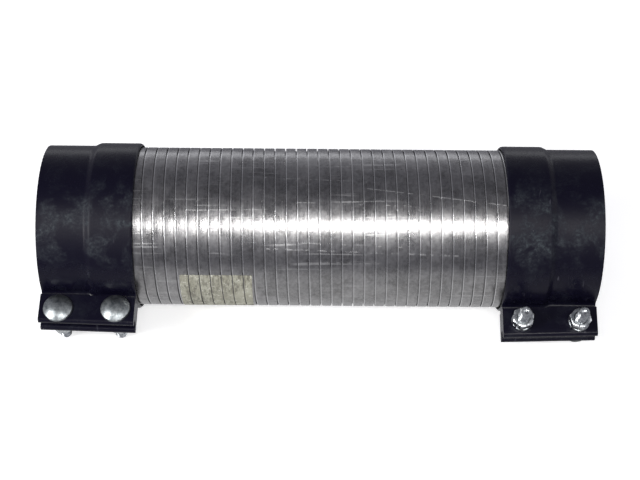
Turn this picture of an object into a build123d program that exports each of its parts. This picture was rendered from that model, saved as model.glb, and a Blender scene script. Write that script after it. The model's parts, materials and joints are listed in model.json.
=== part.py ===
from build123d import *
import math
import os

# A straight length of stripwound interlocked metal hose with a stepped two-bolt band clamp on each
# end. Millimetres. The hose axis is X, the origin is the middle of the left socket's mouth, and the
# part lies with its clamp ears towards -Y and down.

# Overall
TUBE_RADIUS = 63.5  # the 127 mm exhaust tube that each socket grips
CLAMP_PLAY = 1.1  # the clamps are not tightened, so this much is free all round
OVERALL_LENGTH = 450.0

# Hose: one turn is a strip folded into two hooks, and each turn hooks into the next
HOSE_RADIUS = 65.5
PITCH = 8.8
STRIP = 0.4  # strip thickness
LAYER_GAP = 0.3  # radial play between hooked layers
OUTER_FLANGE = 7.95  # the part of a turn that shows outside
INNER_FLANGE = 7.45  # the part of a turn that reaches inside the turn before it
HOOK = 5.05  # how far each hook returns
STRIP_ROUND = 0.25  # rounding of a turn's outside corners
MOVING_TURNS = 33
HOSE_OFFSET = 2.4  # the hose sits this much nearer to the right clamp
END_TURNS = 4  # turns tacked together inside each clamp

# Clamp, in its own frame: X runs inwards from the mouth, Z is the ears' direction, Y is the bolts'
CLAMP_WIDTH = 76.5
SOCKET_LENGTH = 38.0  # the small end, which grips the tube
STEP_LENGTH = 5.0
BAND = 1.9  # band thickness
HOSE_CLEARANCE = 0.3  # on top of the clamp's play
LIP_LENGTH = 3.0  # the chamfered edge that faces the hose
LIP_EDGE = 0.3  # band thickness left at that edge
LEFT_EAR_DROP = 23.6  # degrees below the horizontal
RIGHT_EAR_DROP = 33.5

# Ears: each end of the band turns outwards and folds back over a bar
EAR_GAP = 7.0
BAR = 2.2  # bar thickness
EAR_REACH = 94.0  # axis to outer edge, at the mouth
EAR_LEAN = 2.3  # how much further the ears reach at the other end, as they follow the step
EAR_HEIGHT = 24.0  # outer edge to the end of the folded-back leaf
ROOT_BEND = 3.2
ROOT_CUT = 14.0  # degrees each side of the ears where the round band starts
SLIP = 0.1  # play between pieces that slide together on assembly
BLOCK_COVER = 1.0  # what the spacer block has beyond its bolt holes

# Fasteners: M10 carriage bolts
BOLT_RADIUS = 4.88
BOLT_LENGTH = 45.0
BOLT_SPACING = 46.0
BOLT_HEIGHT = 82.8  # axis of the clamp to axis of a bolt
HOLE_RADIUS = 5.5
HEAD_RADIUS = 12.0
HEAD_HEIGHT = 5.4
HEAD_RIM = 1.0
NECK = 10.0  # square neck, across flats
TIP_CHAMFER = 1.0
DIMPLE_RADIUS = 2.0
DIMPLE_DEPTH = 0.8
WASHER_RADIUS = 8.6
WASHER_BORE = 5.15
WASHER = 2.2
SPLIT = 1.5  # gap in the spring washer
SPLIT_TURN = 45  # degrees from the ears' direction towards the hose
NUT_FLATS = 16.0
NUT_HEIGHT = 8.4
NUT_BORE = 4.95

# Worked out from the above
SOCKET_BORE = TUBE_RADIUS + CLAMP_PLAY
BIG_BORE = HOSE_RADIUS + HOSE_CLEARANCE + CLAMP_PLAY
EAR = 2 * BAND + BAR  # thickness of one folded ear
EAR_FACE = EAR_GAP / 2 + EAR  # middle of the clamp to an ear's outer face
HEM_RADIUS = EAR / 2
STATIONS = [
    (0, SOCKET_BORE),
    (SOCKET_LENGTH, SOCKET_BORE),
    (SOCKET_LENGTH + STEP_LENGTH, BIG_BORE),
    (CLAMP_WIDTH, BIG_BORE),
]
BOLT_PLACES = {
    "outer": (CLAMP_WIDTH - BOLT_SPACING) / 2,
    "inner": (CLAMP_WIDTH + BOLT_SPACING) / 2,
}
HOSE_MIDDLE = OVERALL_LENGTH / 2 + HOSE_OFFSET
FIRST_TURN = HOSE_MIDDLE - MOVING_TURNS * PITCH / 2


def write(name, solid):
    """Label a finished piece and write it as one STEP file."""
    solid.label = name
    export_step(solid, f"parts/{name}.step")


# ---------------------------------------------------------------- hose


def strip_section(web):
    """One turn's folded strip, cut lengthwise: web is where its outside flange starts."""
    outside = HOSE_RADIUS
    second = outside - STRIP - LAYER_GAP
    third = second - STRIP - LAYER_GAP
    inside = third - STRIP - LAYER_GAP
    right = web + OUTER_FLANGE
    left = web - INNER_FLANGE
    with BuildSketch(mode=Mode.PRIVATE) as section:
        with BuildLine():
            Polyline(
                (web, outside),
                (right, outside),
                (right, third - STRIP),
                (right - HOOK, third - STRIP),
                (right - HOOK, third),
                (right - STRIP, third),
                (right - STRIP, outside - STRIP),
                (web + STRIP, outside - STRIP),
                (web + STRIP, inside - STRIP),
                (left, inside - STRIP),
                (left, second),
                (left + HOOK, second),
                (left + HOOK, second - STRIP),
                (left + STRIP, second - STRIP),
                (left + STRIP, inside),
                (web, inside),
                close=True,
            )
        make_face()
        fillet(section.vertices().group_by(Axis.Y)[-1], STRIP_ROUND)
    return section.sketch


def hose_turn(index):
    """One free turn of the hose, counted from the left."""
    with BuildPart() as turn:
        with BuildSketch(Plane.XZ):
            add(strip_section(FIRST_TURN + index * PITCH))
        revolve(axis=Axis.X)
    return turn.part


def hose_end(first, last, trim_from):
    """The turns inside one clamp, tacked together along the inside. Nothing is left of trim_from."""
    inside = HOSE_RADIUS - 4 * STRIP - 3 * LAYER_GAP
    start = FIRST_TURN + first * PITCH
    length = (last - first) * PITCH + STRIP
    with BuildPart() as end:
        with BuildSketch(Plane.XZ):
            for index in range(first, last + 1):
                add(strip_section(FIRST_TURN + index * PITCH))
            with Locations((start, inside)):
                Rectangle(length, STRIP, align=(Align.MIN, Align.MIN))
            with Locations((trim_from, inside)):
                Rectangle(2 * PITCH, PITCH, align=(Align.MAX, Align.CENTER), mode=Mode.SUBTRACT)
        revolve(axis=Axis.X)
    return end.part


def write_hose():
    """Left end, free turns, right end."""
    first = -END_TURNS
    write("hose_end_left", hose_end(first, -1, FIRST_TURN + first * PITCH))
    for index in range(MOVING_TURNS):
        write(f"hose_turn_{index + 1:02d}", hose_turn(index))
    last = MOVING_TURNS + END_TURNS - 1
    write("hose_end_right", hose_end(MOVING_TURNS, last, FIRST_TURN + (MOVING_TURNS - 1) * PITCH))


# ---------------------------------------------------------------- clamp, in its own frame


def ear_reach(x):
    """Axis to the ears' outer edge, at a distance x from the mouth."""
    return EAR_REACH + EAR_LEAN * x / CLAMP_WIDTH


def ear_section(x, bore):
    """Half of the band's two ears, cut across at x: root bend, straight leaf, hem and return leaf."""
    outer = bore + BAND
    bend_y = EAR_GAP / 2 + BAND + ROOT_BEND
    lean = math.degrees(math.asin(bend_y / (outer + ROOT_BEND)))
    bend = (bend_y, (outer + ROOT_BEND) * math.cos(math.radians(lean)))
    hem = (EAR_GAP / 2 + HEM_RADIUS, ear_reach(x) - HEM_RADIUS)
    leaf_end = ear_reach(x) - EAR_HEIGHT
    with BuildSketch(Plane.YZ.offset(x)) as section:
        with BuildLine():
            round_out = CenterArc((0, 0), outer, 90 - ROOT_CUT, ROOT_CUT - lean)
            bend_out = CenterArc(bend, ROOT_BEND, 180, 90 - lean)
            hem_in = CenterArc(hem, HEM_RADIUS - BAND, 0, 180)
            Line(bend_out @ 0, hem_in @ 1)
            hem_out = CenterArc(hem, HEM_RADIUS, 0, 180)
            Polyline(
                hem_in @ 0,
                (EAR_FACE - BAND, leaf_end),
                (EAR_FACE, leaf_end),
                hem_out @ 0,
            )
            bend_in = CenterArc(bend, ROOT_BEND + BAND, 180, 90 - lean)
            Line(hem_out @ 1, bend_in @ 0)
            round_in = CenterArc((0, 0), bore, 90 - ROOT_CUT, ROOT_CUT - lean)
            Line(round_in @ 0, round_out @ 0)
        make_face()
    return section.sketch.face()


def band_barrel():
    """The round part of the band, from one side of the ears to the other."""
    lean = math.radians(ROOT_CUT)
    start = Plane(origin=(0, 0, 0), x_dir=(1, 0, 0), z_dir=(0, -math.cos(lean), -math.sin(lean)))
    lip_start = CLAMP_WIDTH - LIP_LENGTH
    outside = [(x, bore + BAND) for x, bore in reversed(STATIONS[:-1])]
    with BuildPart() as barrel:
        with BuildSketch(start):
            with BuildLine():
                Polyline(
                    *STATIONS,
                    (CLAMP_WIDTH, BIG_BORE + LIP_EDGE),
                    (lip_start, BIG_BORE + BAND),
                    *outside,
                    close=True,
                )
            make_face()
        revolve(axis=Axis.X, revolution_arc=360 - 2 * ROOT_CUT)
    return barrel.part


def bolt_holes():
    """What the bolt holes remove: square on the head side, round from there to the nut side."""
    places = [(x, BOLT_HEIGHT) for x in BOLT_PLACES.values()]
    with BuildPart() as holes:
        with BuildSketch(Plane.XZ.offset(-EAR_FACE)):
            with Locations(*places):
                Rectangle(NECK + 2 * SLIP, NECK + 2 * SLIP)
        extrude(amount=EAR)
        with BuildSketch(Plane.XZ):
            with Locations(*places):
                Circle(HOLE_RADIUS)
        extrude(amount=EAR_FACE, both=True)
    return holes.part


def clamp_band():
    """One sheet: stepped barrel, and two ears folded back over their bars."""
    sections = [ear_section(x, bore) for x, bore in STATIONS]
    barrel = band_barrel()
    holes = bolt_holes()
    with BuildPart() as band:
        loft(sections, ruled=True)
        mirror(about=Plane.XZ)
        add(barrel)
        add(holes, mode=Mode.SUBTRACT)
    return band.part


def ear_bar(side):
    """The flat bar inside one folded ear. side is 1 for the head side and -1 for the nut side."""
    low = [(x, ear_reach(x) - EAR_HEIGHT) for x in (0, CLAMP_WIDTH)]
    high = [(x, ear_reach(x) - HEM_RADIUS) for x in (CLAMP_WIDTH, 0)]
    near = EAR_GAP / 2 + BAND + SLIP / 2
    holes = bolt_holes()
    with BuildPart() as bar:
        with BuildSketch(Plane.XZ.offset(-side * near)):
            Polygon(*low, *high, align=None)
        extrude(amount=-side * (BAR - SLIP))
        add(holes, mode=Mode.SUBTRACT)
    return bar.part


def spacer_block():
    """The block between the ears. Its foot carries on the band's stepped bore."""
    top = BOLT_HEIGHT + HOLE_RADIUS + BLOCK_COVER
    holes = bolt_holes()
    with BuildPart() as block:
        with BuildSketch(Plane.XZ):
            with BuildLine():
                Polyline(*STATIONS, (CLAMP_WIDTH, top), (0, top), close=True)
            make_face()
        extrude(amount=EAR_GAP / 2 - SLIP, both=True)
        with BuildSketch(Plane.XZ):
            with BuildLine():
                Polyline((0, 0), *STATIONS, (CLAMP_WIDTH, 0), close=True)
            make_face()
        revolve(axis=Axis.X, mode=Mode.SUBTRACT)
        add(holes, mode=Mode.SUBTRACT)
    return block.part


def carriage_bolt():
    """Domed head, square neck and shank along Y, with a small dimple in the tip."""
    tip = EAR_FACE - BOLT_LENGTH
    crown = EAR_FACE + HEAD_HEIGHT
    with BuildPart() as bolt:
        with BuildSketch(Plane.XY):
            with BuildLine():
                TangentArc((0, crown), (HEAD_RADIUS, EAR_FACE + HEAD_RIM), tangent=(1, 0))
                Polyline(
                    (HEAD_RADIUS, EAR_FACE + HEAD_RIM),
                    (HEAD_RADIUS, EAR_FACE),
                    (BOLT_RADIUS, EAR_FACE),
                    (BOLT_RADIUS, tip + TIP_CHAMFER),
                    (BOLT_RADIUS - TIP_CHAMFER, tip),
                    (DIMPLE_RADIUS, tip),
                    (0, tip + DIMPLE_DEPTH),
                    (0, crown),
                )
            make_face()
        revolve(axis=Axis.Y)
        with BuildSketch(Plane.XZ.offset(-EAR_FACE)):
            Rectangle(NECK, NECK)
        extrude(amount=EAR)
    return bolt.part


def washer():
    """A split spring washer against the nut side's ear."""
    with BuildPart() as ring:
        with BuildSketch(Plane.XZ.offset(EAR_FACE)):
            Circle(WASHER_RADIUS)
            Circle(WASHER_BORE, mode=Mode.SUBTRACT)
            with Locations(Rotation(0, 0, -SPLIT_TURN)):
                Rectangle(SPLIT, WASHER_RADIUS, align=(Align.CENTER, Align.MIN), mode=Mode.SUBTRACT)
        extrude(amount=WASHER)
    return ring.part


def hex_nut():
    """A plain hexagon nut with its corners turned off at both ends."""
    seat = EAR_FACE + WASHER
    corner = NUT_FLATS / math.sqrt(3)
    drop = (corner - NUT_FLATS / 2) / 2
    with BuildPart() as nut:
        with BuildSketch(Plane.XZ.offset(seat)):
            RegularPolygon(NUT_FLATS / 2, 6, major_radius=False)
        extrude(amount=NUT_HEIGHT)
        with BuildSketch(Plane.XY):
            with BuildLine():
                Polyline(
                    (0, -seat),
                    (NUT_FLATS / 2, -seat),
                    (corner, -seat - drop),
                    (corner, -seat - NUT_HEIGHT + drop),
                    (NUT_FLATS / 2, -seat - NUT_HEIGHT),
                    (0, -seat - NUT_HEIGHT),
                    close=True,
                )
            make_face()
        revolve(axis=Axis.Y, mode=Mode.INTERSECT)
        with BuildSketch(Plane.XZ.offset(seat)):
            Circle(NUT_BORE)
        extrude(amount=NUT_HEIGHT, mode=Mode.SUBTRACT)
    return nut.part


def clamp_frame(mouth_x, inwards, ear_drop):
    """A clamp's own frame: X from the mouth inwards, Z along the ears, which hang ear_drop degrees."""
    drop = math.radians(ear_drop)
    ears = (0, -math.cos(drop), -math.sin(drop))
    return Plane(origin=(mouth_x, 0, 0), x_dir=(inwards, 0, 0), z_dir=ears).location


def write_clamps():
    """The same clamp twice. The right one is turned end for end, so its nuts face the other way."""
    frames = {
        "left": clamp_frame(0, 1, LEFT_EAR_DROP),
        "right": clamp_frame(OVERALL_LENGTH, -1, RIGHT_EAR_DROP),
    }
    pieces = {
        "clamp_band": clamp_band(),
        "head_bar": ear_bar(1),
        "nut_bar": ear_bar(-1),
        "spacer_block": spacer_block(),
    }
    fasteners = {"bolt": carriage_bolt(), "washer": washer(), "nut": hex_nut()}
    for side, frame in frames.items():
        for name, piece in pieces.items():
            write(f"{side}_{name}", frame * piece)
        for place, x in BOLT_PLACES.items():
            for name, piece in fasteners.items():
                write(f"{side}_{name}_{place}", frame * Pos(x, 0, BOLT_HEIGHT) * piece)


os.makedirs("parts", exist_ok=True)
write_hose()
write_clamps()
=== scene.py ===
import json
import math

import bmesh
import bpy
import numpy as np
from mathutils import Matrix, Vector


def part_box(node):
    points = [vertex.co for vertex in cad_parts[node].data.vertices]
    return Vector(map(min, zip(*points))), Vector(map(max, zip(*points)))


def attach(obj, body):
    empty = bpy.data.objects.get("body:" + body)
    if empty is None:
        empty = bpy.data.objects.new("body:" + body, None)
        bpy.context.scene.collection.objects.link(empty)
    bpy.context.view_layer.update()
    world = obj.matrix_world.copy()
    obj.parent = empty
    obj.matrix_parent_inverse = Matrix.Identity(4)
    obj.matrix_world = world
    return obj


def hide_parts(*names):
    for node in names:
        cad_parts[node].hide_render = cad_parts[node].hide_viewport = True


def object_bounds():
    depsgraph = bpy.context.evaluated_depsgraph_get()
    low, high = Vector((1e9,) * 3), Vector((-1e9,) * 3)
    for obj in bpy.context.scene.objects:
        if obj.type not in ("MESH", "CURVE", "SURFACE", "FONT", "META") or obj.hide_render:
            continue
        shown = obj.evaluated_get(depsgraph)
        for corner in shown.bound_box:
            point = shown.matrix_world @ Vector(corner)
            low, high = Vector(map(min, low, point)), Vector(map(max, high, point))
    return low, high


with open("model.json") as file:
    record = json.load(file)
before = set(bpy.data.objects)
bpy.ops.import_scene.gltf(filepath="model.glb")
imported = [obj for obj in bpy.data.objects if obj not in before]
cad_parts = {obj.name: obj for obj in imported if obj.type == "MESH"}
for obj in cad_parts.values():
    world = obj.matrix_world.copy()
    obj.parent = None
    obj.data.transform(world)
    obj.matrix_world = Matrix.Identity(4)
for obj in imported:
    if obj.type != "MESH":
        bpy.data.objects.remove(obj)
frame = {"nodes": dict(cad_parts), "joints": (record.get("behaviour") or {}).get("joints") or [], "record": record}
CAD_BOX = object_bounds()
RECORD = frame["record"]
MM = 0.001

# Hose, in metres
HOSE_RADIUS = 65.5 * MM
PITCH = 8.8 * MM
STRIP = 0.4 * MM
LAYER_GAP = 0.3 * MM
OUTER_FLANGE = 7.95 * MM
INNER_FLANGE = 7.45 * MM
HOOK = 5.05 * MM
CORNER = 0.38 * MM  # rounding of a turn's two outside corners
FOLD_CHAMFER = 0.1 * MM  # cut off the inside of the strip's two outside folds
TURN_STEPS = 160  # a turn starts and ends straight down

# Clamps, in each clamp's own frame: X inwards from the mouth, Y along the bolts, Z along the ears
BAND = 1.9 * MM
BORE = 64.6 * MM
BIG_BORE = 66.9 * MM
CLAMP_WIDTH = 76.5 * MM
STEP_FROM = 37.0 * MM
STEP_TO = 43.5 * MM
LIP = 3.2 * MM
LIP_DROP = 1.5 * MM
EAR_GAP = 7.0 * MM
BAR = 2.2 * MM
EAR_REACH = 94.0 * MM
EAR_LEAN = 2.3 * MM
EAR_HEIGHT = 24.0 * MM
ROOT_BEND = 3.2 * MM
BARREL_STEPS = 96  # in half of the band's round part
EAR_FACE = EAR_GAP / 2 + 2 * BAND + BAR
HEM = (2 * BAND + BAR) / 2

# Fasteners. Places along a bolt are measured from the middle of the clamp
LEAD = 1.5 * MM
BOLT_RADIUS = 4.88 * MM
THREAD_DEPTH = 0.75 * MM
THREAD_TOP = -8.0 * MM
BOLT_TIP = -35.5 * MM
TIP_TAPER = 1.2 * MM
DIMPLE = [(0, 2.0 * MM), (0.5 * MM, 1.2 * MM), (0.7 * MM, 0)]  # depth and radius
HEAD_RADIUS = 12.0 * MM
HEAD_HEIGHT = 5.4 * MM
HEAD_RIM = 1.3 * MM
DOME_PART = 0.965  # how much of the head's radius is dome, and the rest is its rolled rim
WASHER = 2.2 * MM
WASHER_RADIUS = 8.6 * MM
WASHER_BORE = 5.15 * MM
SPLIT = 1.5 * MM
SPLIT_TURN = 45
WASHER_ROLL = 0.35 * MM  # rounding of the washer's bar
NUT_FLATS = 16.0 * MM
NUT_HEIGHT = 8.4 * MM
NUT_BORE = 4.95 * MM
NUT_END = 1.2 * MM  # the stretch at each end of a nut where its corners are turned off
NUT_CORNER = 0.12 * MM  # worn off its corners
SEAT_SINK = 0.5 * MM  # countersinks of its bore
TOP_SINK = 0.7 * MM
NUT_STOPS = {"outer": 13, "inner": 41}  # degrees, how far round each nut has stopped

# Paper label, measured from the left mouth. Angles are in the turns' own measure: 270 is the front
LABEL_FROM = 112.5 * MM
LABEL_TO = 170.5 * MM
LABEL_TOP = 270.5
LABEL_BOTTOM = 343.0
LABEL_CUT = (0.25 * MM, 0.5 * MM)  # kept clear at each turn's two edges, so that the seam can close
LABEL_LEAST = 1.5 * MM  # a turn that the label covers less of has no paper on it
LABEL_SLIVER = 0.05 * MM  # the narrowest that its slanting ends get on a turn
PAPER = 0.10 * MM
PAPER_LIFT = 0.02 * MM  # how far the paper stands off the strip
PAPER_CURL = 0.04 * MM  # how much further it stands off inside its edges
PAPER_FRAY = 0.25  # degrees, how uneven its upper edge is

# How light the room is at each height, from straight down at -1 to straight up at 1
ROOM = [
    (-1, 0.70), (-0.56, 0.62), (-0.50, 0.50), (-0.45, 0.25), (-0.24, 0.21), (-0.05, 0.25),
    (0.1, 0.37), (0.4, 0.38), (0.6, 0.31), (0.72, 0.28), (0.79, 0.18), (1, 0.16),
]
FLOOR_HALF = 6.0
FLOOR_STEPS = 12

# Wear on the hose, and a painted highlight along each turn's leading edge. A scratch has its two ends,
# each (x, degrees above the front), its width and how broken it is
PAINTED_EDGE_WIDTH = 1.0 * MM  # painted highlight: each turn's leading edge is painted bright this far, its rounding included
SCRATCHES = [
    ((0.262, 64.4), (0.372, 52.5), 0.8 * MM, 0.40),
    ((0.180, 73.0), (0.262, 70.0), 0.7 * MM, 0.50),
    ((0.182, 20.5), (0.335, 16.5), 1.1 * MM, 0.47),
    ((0.205, 25.0), (0.290, 22.5), 0.7 * MM, 0.50),
    ((0.172, 97.0), (0.275, 94.0), 1.2 * MM, 0.50),
    ((0.196, 86.0), (0.262, 84.0), 0.8 * MM, 0.52),
    ((0.178, 54.0), (0.300, 51.5), 0.7 * MM, 0.52),
    ((0.225, 11.0), (0.275, 10.0), 0.7 * MM, 0.48),
]

TURNS = sorted(n for n in frame["nodes"] if n.startswith("hose_turn"))
MIDDLE = Vector(((CAD_BOX[0].x + CAD_BOX[1].x) / 2, 0, 0))  # of the hose, on its axis


# ---------------------------------------------------------------- meshes


def make_object(name, verts, faces, uvs=None):
    """A smooth mesh with its edges over 32 degrees kept sharp. uvs has a pair for each face's corners."""
    mesh = bpy.data.meshes.new(name)
    mesh.from_pydata([tuple(v) for v in verts], [], faces)
    if uvs is not None:
        layer = mesh.uv_layers.new(name="strip")
        layer.data.foreach_set("uv", np.asarray(uvs, dtype=np.float32).ravel())
    mesh.validate()
    mesh.update()
    mesh.shade_smooth()
    mesh.set_sharp_from_angle(angle=math.radians(32))
    piece = bpy.data.objects.new(name, mesh)
    bpy.context.scene.collection.objects.link(piece)
    return piece


def outwards(piece):
    """Turn every face of a closed mesh outwards."""
    work = bmesh.new()
    work.from_mesh(piece.data)
    bmesh.ops.recalc_face_normals(work, faces=work.faces)
    work.to_mesh(piece.data)
    work.free()
    return piece


def bevel(piece, width, segments=2):
    """Round a piece's hard edges, those that turn by over 40 degrees."""
    mod = piece.modifiers.new("edges", "BEVEL")
    mod.width = width
    mod.segments = segments
    mod.limit_method = "ANGLE"
    mod.angle_limit = math.radians(40)
    return piece


def arc(centre, radius, start, end, steps):
    """Points on an arc, angles in degrees, both ends included."""
    turn = np.radians(np.linspace(start, end, steps))
    return [(centre[0] + radius * math.cos(t), centre[1] + radius * math.sin(t)) for t in turn]


# ---------------------------------------------------------------- hose


def strip_outline():
    """A turn's folded strip in (x, radius), from its web, with rounded outside corners."""
    second = HOSE_RADIUS - STRIP - LAYER_GAP
    third = second - STRIP - LAYER_GAP
    inside = third - STRIP - LAYER_GAP
    right = OUTER_FLANGE
    left = -INNER_FLANGE
    rim = HOSE_RADIUS - CORNER
    points = arc((CORNER, rim), CORNER, 180, 90, 6)
    points += arc((right - CORNER, rim), CORNER, 90, 0, 6)
    points += [
        (right, third - STRIP),
        (right - HOOK, third - STRIP),
        (right - HOOK, third),
        (right - STRIP, third),
        (right - STRIP, HOSE_RADIUS - STRIP - FOLD_CHAMFER),
        (right - 2 * STRIP, HOSE_RADIUS - STRIP),
        (2 * STRIP, HOSE_RADIUS - STRIP),
        (STRIP, HOSE_RADIUS - STRIP - FOLD_CHAMFER),
        (STRIP, inside - STRIP),
        (left, inside - STRIP),
        (left, second),
        (left + HOOK, second),
        (left + HOOK, second - STRIP),
        (left + STRIP, second - STRIP),
        (left + STRIP, inside),
        (0.0, inside),
    ]
    return points


def strip_turns(name, web, turns, first_turn):
    """A length of the helical strip. web is where its first turn's web stands, half way round."""
    outline = strip_outline()
    steps = int(round(TURN_STEPS * turns))
    along = np.linspace(0, 2 * math.pi * turns, steps + 1)
    sides = np.hypot(*np.diff(np.array(outline), axis=0).T)
    lengths = np.concatenate([[0], np.cumsum(sides)])
    verts, uvs, faces = [], [], []
    count = len(outline)
    for a in along:
        shift = PITCH * (a / (2 * math.pi) - 0.5)
        for x, r in outline:
            verts.append((web + shift + x, r * math.sin(a), -r * math.cos(a)))
    run = 2 * math.pi * HOSE_RADIUS
    for i in range(steps):
        u0 = (first_turn + along[i] / (2 * math.pi)) * run
        u1 = (first_turn + along[i + 1] / (2 * math.pi)) * run
        for j in range(count):
            k = (j + 1) % count
            v0 = lengths[j]
            v1 = lengths[k] if k else lengths[-1] + STRIP
            faces.append((i * count + j, i * count + k, (i + 1) * count + k, (i + 1) * count + j))
            uvs += [(u0, v0), (u0, v1), (u1, v1), (u1, v0)]
    for ring in (0, steps):
        faces.append(tuple(ring * count + j for j in range(count)))
        uvs += [(first_turn * run, lengths[j]) for j in range(count)]
    return outwards(make_object(name, verts, faces, uvs))


def make_hose():
    """One helical turn for each moving node, and the turns held in each clamp. Gives the first web's x."""
    pieces = {}
    low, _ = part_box(TURNS[0])
    first_web = low.x + INNER_FLANGE
    for index, node in enumerate(TURNS):
        pieces[node] = strip_turns(f"strip_{node}", first_web + index * PITCH, 1, index)
    end_low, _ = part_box("hose_end_left")
    held = int(round((first_web - end_low.x) / PITCH))
    pieces["hose_end_left"] = strip_turns("strip_end_left", first_web - held * PITCH, held, -held)
    last_web = first_web + len(TURNS) * PITCH
    pieces["hose_end_right"] = strip_turns("strip_end_right", last_web, held - 0.5, len(TURNS))
    for node, piece in pieces.items():
        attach(piece, node)
        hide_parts(node)
        piece.data.materials.append(HOSE)
    return first_web


def label_patch(name, web):
    """The label's paper on one turn: a thin closed sheet just above the flat of the flange."""
    rows, cols = 33, 9
    verts, faces = [], []
    for layer in (PAPER, 0.0):
        for i, angle in enumerate(np.linspace(LABEL_TOP, LABEL_BOTTOM, rows)):
            shift = PITCH * (angle / 360 - 0.5)
            left = max(web + shift + LABEL_CUT[0], LABEL_FROM)
            right = min(web + shift + PITCH - LABEL_CUT[1], LABEL_TO)
            right = max(right, left + LABEL_SLIVER)
            for j, part in enumerate(np.linspace(0, 1, cols)):
                x = left + part * (right - left)
                wave = 37.0 * x / PITCH + 1.7 * math.sin(9 * part)
                fray = PAPER_FRAY * math.sin(wave) if i == 0 else 0.0
                inner = 0 < i < rows - 1 and 0 < j < cols - 1
                curl = PAPER_CURL if layer and inner else 0.0
                turn = math.radians(angle + fray)
                r = HOSE_RADIUS + layer + PAPER_LIFT + curl
                verts.append((x, r * math.sin(turn), -r * math.cos(turn)))
    back = cols * rows
    for i in range(rows - 1):
        for j in range(cols - 1):
            a = i * cols + j
            faces.append((a, a + 1, a + cols + 1, a + cols))
            faces.append((back + a, back + a + cols, back + a + cols + 1, back + a + 1))
    rim = list(range(cols)) + [i * cols + cols - 1 for i in range(1, rows)]
    rim += [(rows - 1) * cols + j for j in range(cols - 2, -1, -1)]
    rim += [i * cols for i in range(rows - 2, 0, -1)]
    for a, b in zip(rim, rim[1:] + rim[:1]):
        faces.append((a, back + a, back + b, b))
    return outwards(make_object(name, verts, faces))


def make_label(first_web):
    """The label lies over several turns, cut at each seam so that the hose can bend under it."""
    for index, node in enumerate(TURNS):
        web = first_web + index * PITCH
        shift = PITCH * ((LABEL_TOP + LABEL_BOTTOM) / 720 - 0.5)
        left = web + shift + CORNER
        right = web + shift + OUTER_FLANGE - CORNER
        if min(right, LABEL_TO) - max(left, LABEL_FROM) < LABEL_LEAST:
            continue
        patch = label_patch(f"label_{node}", web)
        patch.data.materials.append(LABEL)
        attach(patch, node)


# ---------------------------------------------------------------- clamps


def smooth(t):
    """0 to 1 with flat ends."""
    t = min(max(t, 0.0), 1.0)
    return t * t * (3 - 2 * t)


def bore_at(x):
    """The band's inside radius at a distance x from the mouth."""
    return BORE + (BIG_BORE - BORE) * smooth((x - STEP_FROM) / (STEP_TO - STEP_FROM))


def lip_at(x):
    """How far the inward edge of the band has rolled down towards the hose."""
    t = (x - (CLAMP_WIDTH - LIP)) / LIP
    return LIP_DROP * (1 - math.sqrt(max(1 - t * t, 0.0))) if t > 0 else 0.0


def half_section(x):
    """Half of the band cut across at x: pairs of points on its two faces, from the folded-back leaf."""
    bore = bore_at(x)
    outer = bore + BAND
    bend_y = EAR_GAP / 2 + BAND + ROOT_BEND
    lean = math.asin(bend_y / (outer + ROOT_BEND))
    bend = (bend_y, (outer + ROOT_BEND) * math.cos(lean))
    reach = EAR_REACH + EAR_LEAN * x / CLAMP_WIDTH
    hem = (EAR_GAP / 2 + HEM, reach - HEM)
    leaf_end = reach - EAR_HEIGHT
    pairs = []
    for z in np.linspace(leaf_end, hem[1], 5)[:-1]:
        pairs.append(((EAR_FACE - BAND, z), (EAR_FACE, z)))
    pairs += list(zip(arc(hem, HEM - BAND, 0, 180, 13), arc(hem, HEM, 0, 180, 13)))
    for z in np.linspace(hem[1], bend[1], 6)[1:-1]:
        pairs.append(((EAR_GAP / 2 + BAND, z), (EAR_GAP / 2, z)))
    turn = 90 - math.degrees(lean)
    end = 180 + turn
    pairs += list(zip(arc(bend, ROOT_BEND, 180, end, 10), arc(bend, ROOT_BEND + BAND, 180, end, 10)))
    drop = lip_at(x)
    # The lip's roll starts at nothing beside the ears and is full four steps further round
    fade = np.minimum(np.linspace(0, 1, BARREL_STEPS + 1) * (BARREL_STEPS / 4), 1.0)
    angles = np.linspace(turn, -90, BARREL_STEPS + 1)
    for angle, amount in zip(angles[1:], fade[1:]):
        c, s = math.cos(math.radians(angle)), math.sin(math.radians(angle))
        skin = outer - drop * amount
        pairs.append(((skin * c, skin * s), (bore * c, bore * s)))
    return pairs


def band_mesh(name, matrix):
    """The whole band: both halves of each section, joined along X."""
    stations = list(np.linspace(0, STEP_FROM, 5))
    stations += list(np.linspace(STEP_FROM, STEP_TO, 11))[1:]
    stations += list(np.linspace(STEP_TO, CLAMP_WIDTH - LIP, 4))[1:]
    stations += [CLAMP_WIDTH - LIP + LIP * math.sin(t) for t in np.linspace(0, math.pi / 2, 8)[1:]]
    verts, faces = [], []
    for x in stations:
        half = half_section(x)
        mirrored = [((-a[0], a[1]), (-b[0], b[1])) for a, b in reversed(half[:-1])]
        for face_out, face_in in half + mirrored:
            verts.append((x, *face_out))
            verts.append((x, *face_in))
    across = len(half) * 2 - 1
    row = across * 2
    for i in range(len(stations) - 1):
        for j in range(across - 1):
            a, b = i * row + 2 * j, (i + 1) * row + 2 * j
            faces.append((a, a + 2, b + 2, b))
            faces.append((a + 1, b + 1, b + 3, a + 3))
        for j in (0, across - 1):
            a, b = i * row + 2 * j, (i + 1) * row + 2 * j
            faces.append((a, b, b + 1, a + 1))
    for i in (0, len(stations) - 1):
        for j in range(across - 1):
            a = i * row + 2 * j
            faces.append((a, a + 1, a + 3, a + 2))
    verts = [matrix @ Vector(v) for v in verts]
    return outwards(make_object(name, verts, faces))


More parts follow.
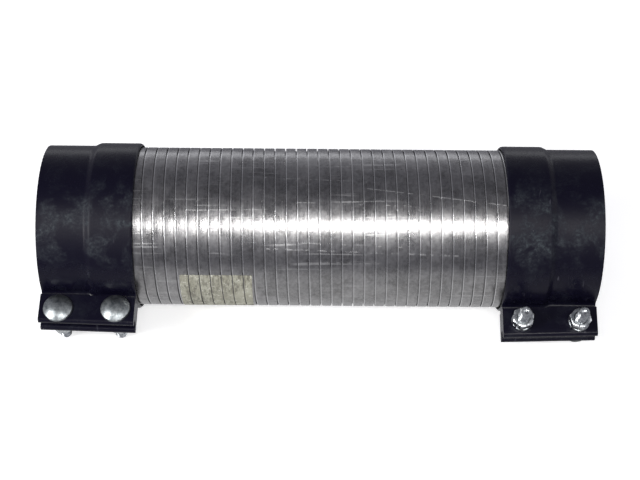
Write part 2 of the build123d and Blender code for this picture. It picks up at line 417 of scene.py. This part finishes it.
def lathe(name, matrix, rings, segments, closed=True):
    """A piece turned about the Y axis. Each ring is (y, radius), where radius may depend on the angle."""
    verts, faces, starts = [], [], []
    angles = [2 * math.pi * i / segments for i in range(segments)]
    for y, radius in rings:
        if not callable(radius) and radius == 0:
            starts.append((len(verts), 1))
            verts.append((0, y, 0))
            continue
        starts.append((len(verts), segments))
        for t in angles:
            r = radius(t) if callable(radius) else radius
            verts.append((r * math.sin(t), y, r * math.cos(t)))
    order = list(zip(starts, starts[1:]))
    if closed:
        order.append((starts[-1], starts[0]))
    for (a, na), (b, nb) in order:
        for i in range(segments):
            j = (i + 1) % segments
            if na == 1:
                faces.append((a, b + i, b + j))
            elif nb == 1:
                faces.append((a + i, b, a + j))
            else:
                faces.append((a + i, b + i, b + j, a + j))
    verts = [matrix @ Vector(v) for v in verts]
    return outwards(make_object(name, verts, faces))


def bolt_mesh(name, matrix):
    """Domed head with a rolled rim, plain shank, rolled thread and a dimpled tip."""
    rise = HEAD_HEIGHT - HEAD_RIM
    dome = (HEAD_RADIUS**2 + rise**2) / (2 * rise)
    crown = EAR_FACE + HEAD_HEIGHT
    rings = [(crown, 0)]
    for r in np.linspace(0.08, DOME_PART, 16) * HEAD_RADIUS:
        rings.append((crown - dome + math.sqrt(dome**2 - r**2), float(r)))
    rim = rings[-1][0] - EAR_FACE
    for t in np.linspace(20, 90, 6):
        roll = math.sin(math.radians(t))
        radius = HEAD_RADIUS * (DOME_PART + (1 - DOME_PART) * roll)
        rings.append((EAR_FACE + rim * (1 - roll) * 0.9, radius))
    rings += [(EAR_FACE, HEAD_RADIUS * 0.985), (EAR_FACE, BOLT_RADIUS), (THREAD_TOP, BOLT_RADIUS)]
    count = int((THREAD_TOP - BOLT_TIP) / LEAD * 8)

    def thread(y):
        taper = BOLT_RADIUS - max(0.0, TIP_TAPER - (y - BOLT_TIP))

        def radius(t):
            phase = (y / LEAD - t / (2 * math.pi)) % 1.0
            depth = THREAD_DEPTH * min(1.0, max(0.0, 1.25 - abs(phase - 0.5) * 2.5))
            return min(BOLT_RADIUS - depth, taper)

        return radius

    for y in np.linspace(THREAD_TOP, BOLT_TIP, count + 1)[1:]:
        rings.append((float(y), thread(float(y))))
    rings += [(BOLT_TIP + depth, radius) for depth, radius in DIMPLE]
    return lathe(name, matrix, rings, segments=40, closed=False)


def washer_mesh(name, matrix):
    """A split spring washer: a rounded bar bent into a ring, with its two ends apart."""
    face, back = -EAR_FACE, -EAR_FACE - WASHER
    half_gap = math.asin(SPLIT / 2 / WASHER_RADIUS)
    middle = math.radians(SPLIT_TURN)
    corners = [
        (back + WASHER_ROLL, WASHER_RADIUS - WASHER_ROLL, 0),
        (back + WASHER_ROLL, WASHER_BORE + WASHER_ROLL, 90),
        (face - WASHER_ROLL, WASHER_BORE + WASHER_ROLL, 180),
        (face - WASHER_ROLL, WASHER_RADIUS - WASHER_ROLL, 270),
    ]
    section = []
    for y, r, start in corners:
        for t in np.radians(np.linspace(start, start + 90, 4)):
            section.append((y - WASHER_ROLL * math.sin(t), r + WASHER_ROLL * math.cos(t)))
    verts, faces = [], []
    angles = np.linspace(middle + half_gap, middle - half_gap + 2 * math.pi, 73)
    for t in angles:
        verts += [(r * math.sin(t), y, r * math.cos(t)) for y, r in section]
    count = len(section)
    for i in range(len(angles) - 1):
        for j in range(count):
            a, b = i * count + j, i * count + (j + 1) % count
            faces.append((a, b, b + count, a + count))
    faces.append(tuple(range(count)))
    faces.append(tuple(range((len(angles) - 1) * count, len(angles) * count)))
    verts = [matrix @ Vector(v) for v in verts]
    return outwards(make_object(name, verts, faces))


def nut_mesh(name, matrix):
    """A hexagon nut with its corners turned off and a countersunk bore."""
    seat = -EAR_FACE - WASHER
    top = seat - NUT_HEIGHT
    chamfer = math.tan(math.radians(30))
    corner = NUT_FLATS / math.sqrt(3) - NUT_CORNER

    def hexagon(y):
        near_end = min(seat - y, y - top)
        limit = NUT_FLATS / 2 * 0.97 + max(near_end, 0.0) / chamfer

        def radius(t):
            turn = (math.degrees(t) + 30) % 60 - 30
            return min(NUT_FLATS / 2 / math.cos(math.radians(turn)), limit, corner)

        return radius

    rings = [(seat, NUT_BORE + SEAT_SINK)]
    for start, end in ((seat, seat - NUT_END), (top + NUT_END, top)):
        rings += [(float(y), hexagon(float(y))) for y in np.linspace(start, end, 7)]
    rings += [(top, NUT_BORE + TOP_SINK), (top + TOP_SINK, NUT_BORE), (seat - SEAT_SINK, NUT_BORE)]
    return lathe(name, matrix, rings, segments=96)


def finish_piece(piece, body, node, material):
    """Put a piece on its body in place of its CAD node, with its finish."""
    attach(piece, body)
    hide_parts(node)
    piece.data.materials.append(material)


def bright_thread(bolt, at):
    """The threaded end has kept the brighter plating."""
    bolt.data.materials.append(NUT_ZINC)
    back = at.inverted()
    for face in bolt.data.polygons:
        if (back @ face.center).y < THREAD_TOP:
            face.material_index = 1


def make_clamp(side):
    """One clamp's band, bolts, washers and nuts, placed by its nut joints and its socket mount."""
    joints = {j["name"]: j for j in frame["joints"]}
    mouth = next(m for m in RECORD["mounts"] if m["name"] == f"{side}_socket")
    inwards = -Vector(mouth["axis"])
    first = joints[f"{side}_nut_outer_turn"]
    ears = Vector((0, first["pos_m"][1], first["pos_m"][2])).normalized()
    heads = -Vector(first["axis"]).normalized()
    turn = Matrix((inwards, heads, ears)).transposed().to_4x4()
    place = Matrix.Translation(Vector(mouth["pos_m"])) @ turn
    band = bevel(band_mesh(f"{side}_band", place), 0.35 * MM, 3)
    finish_piece(band, f"{side}_clamp", f"{side}_clamp_band", PAINT)
    for spot in ("outer", "inner"):
        joint = joints[f"{side}_nut_{spot}_turn"]
        at = Matrix.Translation(Vector(joint["pos_m"])) @ turn
        spin = Matrix.Rotation(math.radians(NUT_STOPS[spot]), 4, "Y")
        bolt = bolt_mesh(f"{side}_carriage_bolt_{spot}", at)
        finish_piece(bolt, f"{side}_clamp", f"{side}_bolt_{spot}", ZINC)
        bright_thread(bolt, at)
        ring = washer_mesh(f"{side}_spring_washer_{spot}", at)
        finish_piece(ring, f"{side}_washer_{spot}", f"{side}_washer_{spot}", NUT_ZINC)
        nut = nut_mesh(f"{side}_hex_nut_{spot}", at @ spin)
        finish_piece(nut, f"{side}_nut_{spot}", f"{side}_nut_{spot}", NUT_ZINC)
    for node in ("head_bar", "nut_bar", "spacer_block"):
        solid = frame["nodes"][f"{side}_{node}"]
        solid.data.materials.clear()
        solid.data.materials.append(PAINT)
        bevel(solid, 0.3 * MM)


# ---------------------------------------------------------------- materials


class Shader:
    """A material and a few short ways of adding nodes to it."""

    def __init__(self, name):
        self.material = bpy.data.materials.new(name)
        self.material.use_nodes = True
        self.tree = self.material.node_tree
        self.surface = self.tree.nodes["Principled BSDF"]

    def node(self, kind, settings=None, **inputs):
        made = self.tree.nodes.new(kind)
        for key, value in (settings or {}).items():
            setattr(made, key, value)
        for key, value in inputs.items():
            self.put(made, key.replace("_", " "), value)
        return made

    def put(self, node, socket, value):
        """Link or set a socket, which is named, or numbered where its name isn't its own."""
        target = node.inputs[int(socket)] if socket.isdigit() else node.inputs[socket]
        if isinstance(value, bpy.types.NodeSocket):
            self.tree.links.new(value, target)
        else:
            target.default_value = value

    def math(self, operation, a, b=0.0, c=0.0):
        made = self.node("ShaderNodeMath", {"operation": operation})
        for index, value in enumerate((a, b, c)):
            if index < len(made.inputs):
                self.put(made, str(index), value)
        return made.outputs[0]

    def noise(self, vector, scale, detail=3.0, rough=0.55, distort=0.0):
        made = self.node("ShaderNodeTexNoise", Vector=vector, Scale=scale, Detail=detail,
                         Roughness=rough, Distortion=distort)
        return made.outputs["Fac"]

    def ramp(self, value, *stops):
        """Stops are (position, grey or colour)."""
        made = self.node("ShaderNodeValToRGB", Fac=value)
        points = made.color_ramp.elements
        while len(points) < len(stops):
            points.new(0.5)
        for point, (position, colour) in zip(points, stops):
            point.position = position
            point.color = (*colour, 1) if isinstance(colour, tuple) else (colour, colour, colour, 1)
        return made.outputs["Color"]

    def mix(self, factor, a, b):
        """Colour a where factor is 0 and b where it is 1. Sockets 6 and 7 are the node's two colours."""
        made = self.node("ShaderNodeMix", {"data_type": "RGBA"})
        for socket, value in (("0", factor), ("6", a), ("7", b)):
            self.put(made, socket, (*value, 1) if isinstance(value, tuple) else value)
        return made.outputs[2]

    def stretch(self, vector, scale):
        return self.node("ShaderNodeMapping", Vector=vector, Scale=scale).outputs["Vector"]

    def bump(self, height, distance, strength=1.0, normal=None):
        made = self.node("ShaderNodeBump", Height=height, Distance=distance, Strength=strength)
        if normal is not None:
            self.put(made, "Normal", normal)
        return made.outputs["Normal"]


def scratch_line(s, place, scratch):
    """1 along a broken scratch on the hose from (x, angle) to (x, angle), 0 elsewhere."""
    (x0, angle0), (x1, angle1), width, broken = scratch
    split = s.node("ShaderNodeSeparateXYZ", Vector=place)
    x = split.outputs["X"]
    back = s.math("MULTIPLY", split.outputs["Y"], -1.0)
    angle = s.math("ARCTAN2", split.outputs["Z"], back)
    slope = math.radians(angle1 - angle0) / (x1 - x0)
    line = s.math("MULTIPLY_ADD", x, slope, math.radians(angle0) - slope * x0)
    off = s.math("ABSOLUTE", s.math("SUBTRACT", angle, line))
    near = s.math("LESS_THAN", s.math("MULTIPLY", off, HOSE_RADIUS), width / 2)
    inside = s.math("LESS_THAN", s.math("ABSOLUTE", s.math("SUBTRACT", x, (x0 + x1) / 2)), (x1 - x0) / 2)
    dashes = s.ramp(s.noise(place, 170.0, 3.0), (broken, 0.0), (broken + 0.06, 1.0))
    return s.math("MULTIPLY", s.math("MULTIPLY", near, inside), dashes)


def hose_material():
    """Bare rolled strip: grain along it, mottling, scuffs, scratches, tarnish and a painted highlight along each
    turn's leading edge.
    """
    s = Shader("rolled_strip")
    strip = s.node("ShaderNodeUVMap", {"uv_map": "strip"}).outputs["UV"]
    place = s.node("ShaderNodeTexCoord").outputs["Object"]
    grain = s.noise(s.stretch(strip, (9.0, 1500.0, 1.0)), 1.0, 4.0, 0.6)
    streaks = s.noise(s.stretch(strip, (16.0, 760.0, 1.0)), 1.0, 3.0, 0.6)
    fine = s.noise(s.stretch(strip, (60.0, 4500.0, 1.0)), 1.0, 2.0)
    ripples = s.noise(s.stretch(strip, (95.0, 150.0, 1.0)), 1.0, 2.0, 0.5)
    patches = s.noise(place, 55.0, 4.0, 0.6)
    mottle = s.noise(place, 380.0, 4.0, 0.65)
    cloud = s.noise(place, 12.0, 2.0)
    scuffs = s.noise(s.stretch(place, (18.0, 330.0, 330.0)), 1.0, 2.0, 0.5)
    scuffs = s.ramp(scuffs, (0.60, 0.0), (0.68, 1.0))
    scuff_zone = s.ramp(cloud, (0.46, 0.0), (0.58, 1.0))
    scuffs = s.math("MULTIPLY", scuffs, scuff_zone)
    for scratch in SCRATCHES:
        scuffs = s.math("MAXIMUM", scuffs, scratch_line(s, place, scratch))
    tarnish = s.ramp(s.noise(place, 150.0, 4.0, 0.7), (0.52, 0.0), (0.66, 1.0))
    blotches = s.math("ADD", s.math("MULTIPLY", patches, 0.5), s.math("MULTIPLY", mottle, 0.5))
    tone = s.ramp(blotches, (0.36, (0.17, 0.168, 0.170)), (0.64, (0.40, 0.395, 0.395)))
    tone = s.mix(s.math("MULTIPLY", grain, 0.30), tone, (0.50, 0.495, 0.49))
    tone = s.mix(s.math("MULTIPLY", tarnish, 0.38), tone, (0.135, 0.128, 0.122))
    tone = s.mix(s.math("MULTIPLY", scuffs, 0.45), tone, (0.66, 0.66, 0.65))
    # Painted highlight: each turn's leading edge is painted bright, for the light that its rounded corner catches
    across = s.node("ShaderNodeSeparateXYZ", Vector=strip).outputs["Y"]
    painted_edge = s.ramp(s.math("MULTIPLY", across, 0.5 / PAINTED_EDGE_WIDTH), (0.30, 1.0), (0.50, 0.0))
    tone = s.mix(s.math("MULTIPLY", painted_edge, 0.75), tone, (0.84, 0.84, 0.84))
    s.put(s.surface, "Base Color", tone)
    s.put(s.surface, "Metallic", 1.0)
    rough = s.math("MULTIPLY_ADD", patches, 0.22, 0.09)
    rough = s.math("MULTIPLY_ADD", streaks, 0.18, rough)
    rough = s.math("MULTIPLY_ADD", scuffs, 0.12, rough)
    s.put(s.surface, "Roughness", rough)
    height = s.math("MULTIPLY_ADD", grain, 0.7, s.math("MULTIPLY", fine, 0.3))
    first = s.bump(height, 0.00003, 0.6)
    second = s.bump(streaks, 0.00012, 0.75, first)
    third = s.bump(ripples, 0.00040, 0.22, second)
    dents = s.bump(patches, 0.0006, 0.30, third)
    s.put(s.surface, "Normal", s.bump(scuffs, 0.00004, 0.5, dents))
    return s.material


def paint_material():
    """Black enamel: some dust all over, and on the upper front that faces the key light a lighter, less glossy
    zone that is partly dust and partly painted sheen, with marks and chips all over.
    """
    s = Shader("black_enamel")
    place = s.node("ShaderNodeTexCoord").outputs["Object"]
    towards = s.node("ShaderNodeVectorMath", {"operation": "DOT_PRODUCT"}, Vector=place)
    towards.inputs[1].default_value = (0.0, -0.81, 0.59)  # out to the upper front, towards the key light and the camera, where dust and painted sheen lie
    dust_and_sheen_zone = s.ramp(towards.outputs["Value"], (0.0605, 0.0), (0.0680, 1.0))
    peel = s.noise(place, 700.0, 2.0)
    waves = s.noise(place, 60.0, 2.0)
    cloud = s.ramp(s.noise(place, 44.0, 5.0, 0.7, 0.5), (0.47, 0.0), (0.66, 1.0))
    film = s.ramp(s.noise(place, 360.0, 5.0, 0.75), (0.44, 0.0), (0.64, 1.0))
    # Painted sheen: the upper front that faces the key light is painted lighter, partly dust and partly standing
    # in for the key light's reflection in the enamel
    dust_and_sheen = s.math("MULTIPLY", cloud, s.math("MULTIPLY_ADD", dust_and_sheen_zone, 0.85, 0.15))
    specks = s.ramp(s.noise(place, 900.0, 2.0), (0.72, 0.0), (0.76, 1.0))
    chips = s.ramp(s.noise(place, 250.0, 3.0, 0.7), (0.775, 0.0), (0.79, 1.0))
    marks = s.noise(s.stretch(place, (210.0, 30.0, 30.0)), 1.0, 2.0, 0.5, 0.6)
    marks = s.ramp(marks, (0.715, 0.0), (0.73, 1.0))
    tone = s.mix(s.math("MULTIPLY", dust_and_sheen, s.math("MULTIPLY_ADD", film, 0.8, 0.2)),
                 (0.0034, 0.0030, 0.0088), (0.046, 0.056, 0.062))
    tone = s.mix(s.math("MULTIPLY", s.math("MULTIPLY", specks, dust_and_sheen), 0.8), tone, (0.20, 0.20, 0.20))
    tone = s.mix(s.math("MULTIPLY", marks, 0.25), tone, (0.09, 0.09, 0.11))
    tone = s.mix(s.math("MULTIPLY", chips, 0.8), tone, (0.30, 0.29, 0.28))
    s.put(s.surface, "Base Color", tone)
    rough = s.math("MULTIPLY_ADD", dust_and_sheen_zone, 0.20, 0.26)
    s.put(s.surface, "Roughness", s.math("MULTIPLY_ADD", dust_and_sheen, 0.24, rough))
    s.put(s.surface, "Specular IOR Level", 0.17)
    first = s.bump(peel, 0.00004, 0.25)
    second = s.bump(waves, 0.0005, 0.18, first)
    s.put(s.surface, "Normal", s.bump(film, 0.00006, 0.35, second))
    return s.material


def zinc_material(name, dark, light, rough, pitted):
    """Zinc plate: cloudy crystals and fine dark pits."""
    s = Shader(name)
    place = s.node("ShaderNodeTexCoord").outputs["Object"]
    cloud = s.noise(place, 260.0, 4.0, 0.6)
    crystals = s.node("ShaderNodeTexVoronoi", Vector=place, Scale=620.0).outputs["Distance"]
    pits = s.ramp(s.noise(place, 1500.0, 3.0), (0.30, 0.0), (0.42, 1.0))
    tone = s.ramp(s.math("MULTIPLY_ADD", crystals, 0.35, cloud), (0.40, dark), (0.85, light))
    tone = s.mix(s.math("MULTIPLY_ADD", pits, pitted, 1 - pitted), (0.12, 0.12, 0.12), tone)
    s.put(s.surface, "Base Color", tone)
    s.put(s.surface, "Metallic", 1.0)
    s.put(s.surface, "Roughness", s.math("MULTIPLY_ADD", cloud, 0.25, rough))
    first = s.bump(cloud, 0.00012, 0.35)
    s.put(s.surface, "Normal", s.bump(pits, 0.00004, 0.3, first))
    return s.material


def paper_material():
    """Aged paper: fibres, stains, dark rubbed smudges and pale worn patches."""
    s = Shader("aged_paper")
    place = s.node("ShaderNodeTexCoord").outputs["Object"]
    fibres = s.noise(place, 2600.0, 3.0)
    stains = s.noise(place, 95.0, 5.0, 0.65, 0.5)
    smudge = s.noise(s.stretch(place, (520.0, 170.0, 170.0)), 1.0, 4.0, 0.7)
    smudge = s.ramp(smudge, (0.47, 0.0), (0.56, 1.0))
    zone = s.ramp(s.noise(place, 60.0, 2.0), (0.40, 0.0), (0.52, 1.0))
    worn = s.ramp(s.noise(place, 420.0, 4.0, 0.7), (0.58, 0.0), (0.66, 1.0))
    tone = s.ramp(stains, (0.30, (0.175, 0.170, 0.130)), (0.66, (0.275, 0.275, 0.225)))
    tone = s.mix(s.math("MULTIPLY", s.math("MULTIPLY", smudge, zone), 0.8), tone, (0.075, 0.07, 0.055))
    tone = s.mix(s.math("MULTIPLY", worn, 0.7), tone, (0.56, 0.56, 0.50))
    tone = s.mix(s.math("MULTIPLY", fibres, 0.18), tone, (0.20, 0.18, 0.13))
    s.put(s.surface, "Base Color", tone)
    s.put(s.surface, "Roughness", s.math("MULTIPLY_ADD", stains, 0.25, 0.55))
    s.put(s.surface, "Normal", s.bump(fibres, 0.00005, 0.5))
    return s.material


def floor_material():
    """Plain pale floor."""
    s = Shader("pale_floor")
    place = s.node("ShaderNodeTexCoord").outputs["Object"]
    tone = s.ramp(s.noise(place, 6.0, 3.0), (0.3, (0.80, 0.80, 0.80)), (0.7, (0.83, 0.83, 0.83)))
    s.put(s.surface, "Base Color", tone)
    s.put(s.surface, "Roughness", 0.75)
    s.put(s.surface, "Emission Color", (1.0, 1.0, 1.0, 1.0))
    s.put(s.surface, "Emission Strength", 0.58)
    return s.material


# ---------------------------------------------------------------- floor, light and camera


def make_floor():
    """A wide flat floor under the clamps. It isn't seen in gloss, so that the hose doesn't mirror it."""
    low, high = CAD_BOX
    middle = (low + high) / 2
    marks = [-FLOOR_HALF + 2 * FLOOR_HALF * i / FLOOR_STEPS for i in range(FLOOR_STEPS + 1)]
    verts = [(middle.x + x, middle.y + y, low.z) for x in marks for y in marks]
    row = FLOOR_STEPS + 1
    faces = []
    for i in range(FLOOR_STEPS):
        for j in range(FLOOR_STEPS):
            a = i * row + j
            faces.append((a, a + row, a + row + 1, a + 1))
    floor = make_object("floor", verts, faces)
    floor.data.materials.append(floor_material())
    floor.visible_glossy = False


def view_back(elevation):
    """From the object towards a viewer in front of it, at that elevation."""
    e = math.radians(elevation)
    return Vector((0, -math.cos(e), math.sin(e)))


def area_light(name, direction, distance, width, height, power, colour=(1, 1, 1)):
    """A rectangular light that faces the middle of the hose, from a direction and at a distance."""
    lamp = bpy.data.lights.new(name, "AREA")
    lamp.shape = "RECTANGLE"
    lamp.size = width
    lamp.size_y = height
    lamp.energy = power
    lamp.color = colour
    light = bpy.data.objects.new(name, lamp)
    light.location = MIDDLE + direction.normalized() * distance
    light.rotation_mode = "QUATERNION"
    light.rotation_quaternion = (-direction).to_track_quat("-Z", "Y")
    bpy.context.scene.collection.objects.link(light)


def make_world():
    """A plain room: pale below, dark just under the horizon, mid grey above it and darkest overhead."""
    world = bpy.data.worlds.new("room")
    bpy.context.scene.world = world
    world.use_nodes = True
    tree = world.node_tree
    coords = tree.nodes.new("ShaderNodeTexCoord")
    split = tree.nodes.new("ShaderNodeSeparateXYZ")
    height = tree.nodes.new("ShaderNodeMath")
    height.operation = "MULTIPLY_ADD"
    height.inputs[1].default_value = 0.5
    height.inputs[2].default_value = 0.5
    ramp = tree.nodes.new("ShaderNodeValToRGB")
    tree.links.new(coords.outputs["Generated"], split.inputs[0])
    tree.links.new(split.outputs["Z"], height.inputs[0])
    tree.links.new(height.outputs[0], ramp.inputs["Fac"])
    tree.links.new(ramp.outputs["Color"], tree.nodes["Background"].inputs["Color"])
    stops = ramp.color_ramp.elements
    while len(stops) < len(ROOM):
        stops.new(0.5)
    for stop, (rise, grey) in zip(stops, ROOM):
        stop.position = (rise + 1) / 2
        stop.color = (grey * 0.985, grey * 0.985, grey * (1.16 - 0.22 * grey), 1)  # bluer where dark


def make_lights():
    """A narrow key for the bright band along the hose, a low light behind, and one at each end."""
    key = view_back(38.5) + Vector((0.12, 0, 0))
    area_light("key", key, 1.30, 0.80, 0.18, 7.6, (1.0, 0.99, 0.98))
    area_light("back_fill", Vector((0, 1.0, 0.30)), 1.9, 2.6, 0.35, 3.0, (0.95, 0.97, 1.0))
    area_light("left_fill", Vector((-1.0, -0.80, 0.62)), 1.6, 0.35, 0.7, 20.0)
    area_light("right_fill", Vector((1.0, -0.25, 0.55)), 1.6, 0.6, 0.8, 2.0)


def make_camera():
    """A long lens in front of the middle of the hose, looking down at 36.5 degrees."""
    distance = 1.160
    elevation = 36.5
    roll = 0.52
    aside = 0.0003  # the view's middle is this far left of the hose's
    below = 0.0106  # and this far under its axis
    back = view_back(elevation)
    up = Vector((0, math.sin(math.radians(elevation)), math.cos(math.radians(elevation))))
    aim = MIDDLE - Vector((aside, 0, 0)) - up * below
    data = bpy.data.cameras.new("camera")
    data.lens = 78.0
    data.sensor_width = 36.0
    camera = bpy.data.objects.new("camera", data)
    camera.location = aim + back * distance
    camera.rotation_mode = "QUATERNION"
    level = (-back).to_track_quat("-Z", "Y")
    camera.rotation_quaternion = Matrix.Rotation(math.radians(roll), 3, back).to_quaternion() @ level
    bpy.context.scene.collection.objects.link(camera)
    bpy.context.scene.camera = camera


HOSE = hose_material()
PAINT = paint_material()
ZINC = zinc_material("dull_zinc", (0.17, 0.19, 0.20), (0.40, 0.425, 0.43), 0.26, 0.5)
NUT_ZINC = zinc_material("bright_zinc", (0.34, 0.37, 0.385), (0.68, 0.70, 0.71), 0.15, 0.25)
LABEL = paper_material()

bpy.context.scene.view_settings.view_transform = "Standard"
make_camera()
make_world()
make_lights()
make_floor()
make_label(make_hose())
make_clamp("left")
make_clamp("right")

bpy.context.view_layer.update()
